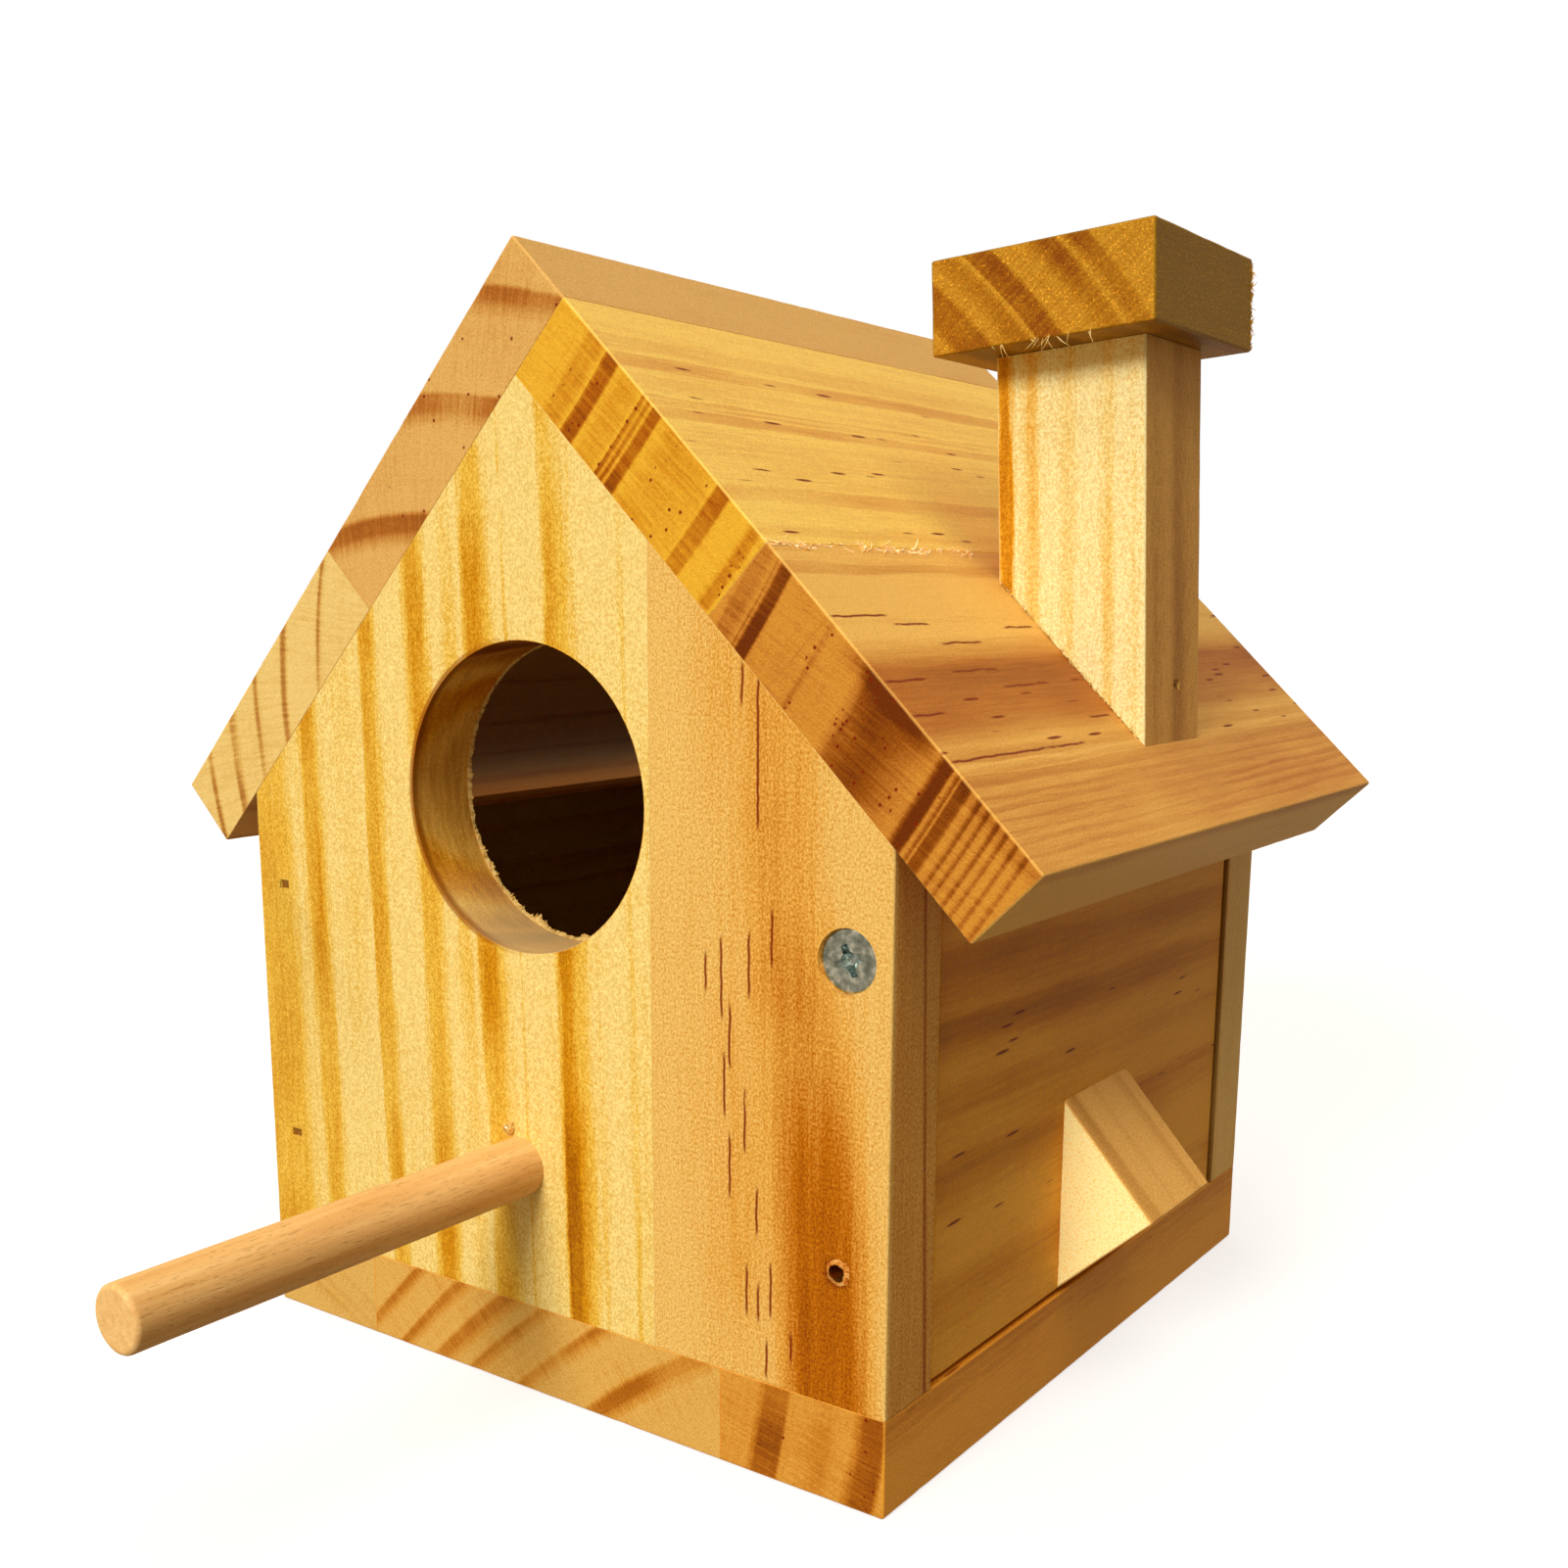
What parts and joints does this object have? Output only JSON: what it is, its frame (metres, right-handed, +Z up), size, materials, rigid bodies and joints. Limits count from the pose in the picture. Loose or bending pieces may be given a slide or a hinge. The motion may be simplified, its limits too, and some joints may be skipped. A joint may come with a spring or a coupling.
{
  "type": "birdhouse",
  "caption": "Gabled wooden nest box with a round entrance, dowel perch, offset chimney and a side wall that swings out on screws for cleaning.",
  "frame": {"origin": "centre of the base board's underside", "axes": "+X to the right as seen from the front (towards the door), +Y from the front panel to the back panel, +Z up"},
  "size_m": [0.1411, 0.1772, 0.1491],
  "materials": {
    "pine": "satin varnish over knot-free pine",
    "pine_pale": "satin varnish over pale pine sapwood",
    "pine_dark": "satin varnish over darker banded pine",
    "beech": "bare sanded dowel",
    "zinc": "bright zinc plate",
    "steel": "plain wire"
  },
  "bodies": {
    "house": {"base_stave_left": "pine", "base_stave_middle": "pine_pale", "base_stave_right": "pine_dark", "front_stave_left": "pine_pale", "front_stave_right": "pine", "back_stave_left": "pine", "back_stave_right": "pine_pale", "left_wall": "pine", "roof_left_upper": "pine_pale", "roof_left_lower": "pine", "roof_right_upper": "pine_pale", "roof_right_lower": "pine_dark", "chimney_post": "pine_pale", "chimney_cap": "pine", "perch": "beech", "base_brads": "steel", "wall_brads": "steel", "roof_brads": "steel", "ridge_brads": "steel", "chimney_brads": "steel"},
    "door": {"side_door": "pine_dark", "door_handle": "pine", "handle_brads": "steel", "pivot_screw_front": "zinc", "pivot_screw_rear": "zinc"}
  },
  "joints": [
    {"name": "door_swing", "type": "hinge", "parent": "house", "child": "door", "pos_m": [0.0481, 0, 0.066], "axis": [0, -1, 0], "range_deg": [0, 75]}
  ]
}
